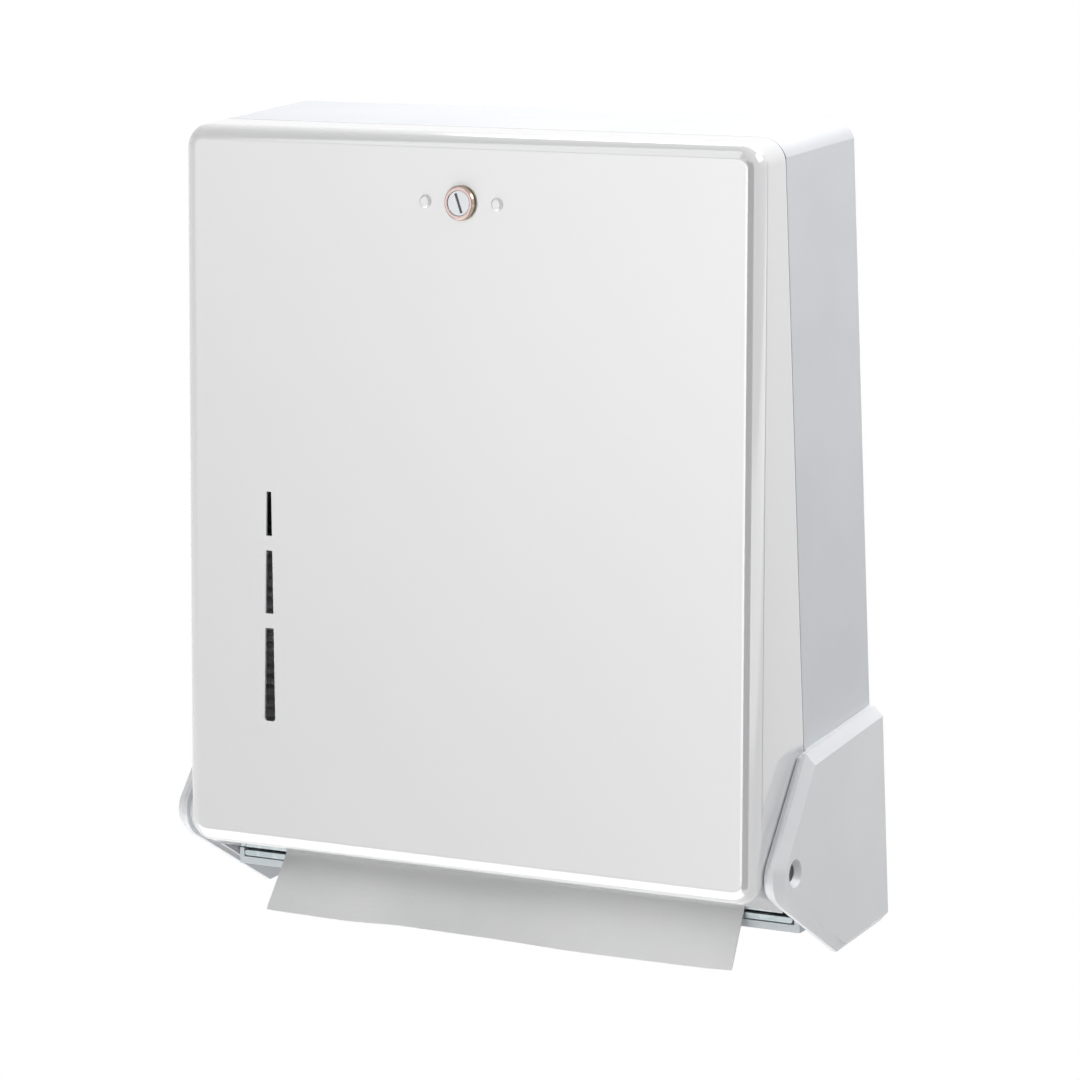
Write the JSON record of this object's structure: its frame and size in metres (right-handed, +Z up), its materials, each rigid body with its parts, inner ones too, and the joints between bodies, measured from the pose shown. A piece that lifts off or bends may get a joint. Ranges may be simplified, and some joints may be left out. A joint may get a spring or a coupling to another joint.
{
  "type": "folded towel dispenser",
  "caption": "Wall-hung folded paper towel dispenser with a moulded cabinet, a hinged steel front cover with level slots and a turn lock, and a trough with an adjustable throat.",
  "frame": {"origin": "centre of the wall-screw pattern, on the back face", "axes": "+X to the viewer's right, +Y into the wall, +Z up; the front faces -Y"},
  "size_m": [0.3046, 0.1098, 0.3522],
  "materials": {
    "white_enamel": "glossy white baked enamel on sheet steel",
    "cabinet_abs": "moulded pale grey-white ABS, satin",
    "cheek_abs": "moulded pale grey-white ABS, semi-gloss",
    "trough_abs": "moulded pale grey-white ABS, satin",
    "galvanised_sheet": "zinc-coated sheet steel",
    "zinc_plated_steel": "bright zinc-plated steel",
    "dark_pin_steel": "plain dark steel",
    "yellow_passivated_zinc": "zinc plate with a faint yellow and pink passivation",
    "nickel_plate": "bright nickel plate",
    "towel_paper": "absorbent white paper, embossed"
  },
  "bodies": {
    "cabinet": {"cabinet_shell": "cabinet_abs", "left_cheek": "cheek_abs", "right_cheek": "cheek_abs", "cheek_screws": "zinc_plated_steel", "towel_trough": "trough_abs", "trough_screws": "zinc_plated_steel", "throat_screws": "zinc_plated_steel", "strike": "galvanised_sheet", "strike_screws": "zinc_plated_steel", "towel_stack": "towel_paper", "hanging_towel": "towel_paper"},
    "cover": {"front_cover": "white_enamel", "left_pivot_pin": "dark_pin_steel", "right_pivot_pin": "dark_pin_steel", "lock_backing": "galvanised_sheet", "lock_rivets": "white_enamel", "lock_housing": "yellow_passivated_zinc", "lock_nut": "zinc_plated_steel"},
    "lock": {"lock_plug": "nickel_plate", "lock_cam": "zinc_plated_steel", "cam_washer": "zinc_plated_steel", "cam_screw": "zinc_plated_steel"},
    "throat": {"throat_plate": "galvanised_sheet"}
  },
  "joints": [
    {"name": "cover_hinge", "type": "hinge", "parent": "cabinet", "child": "cover", "pos_m": [0, -0.0906, -0.1558], "axis": [1, 0, 0], "range_deg": [0, 70]},
    {"name": "lock_turn", "type": "hinge", "parent": "cover", "child": "lock", "pos_m": [0, -0.08578, 0.1192], "axis": [0, -0.9963, 0.0857], "range_deg": [0, 90]},
    {"name": "throat_slide", "type": "slide", "parent": "cabinet", "child": "throat", "axis": [0, 1, 0], "range_m": [0, 0.005]}
  ]
}
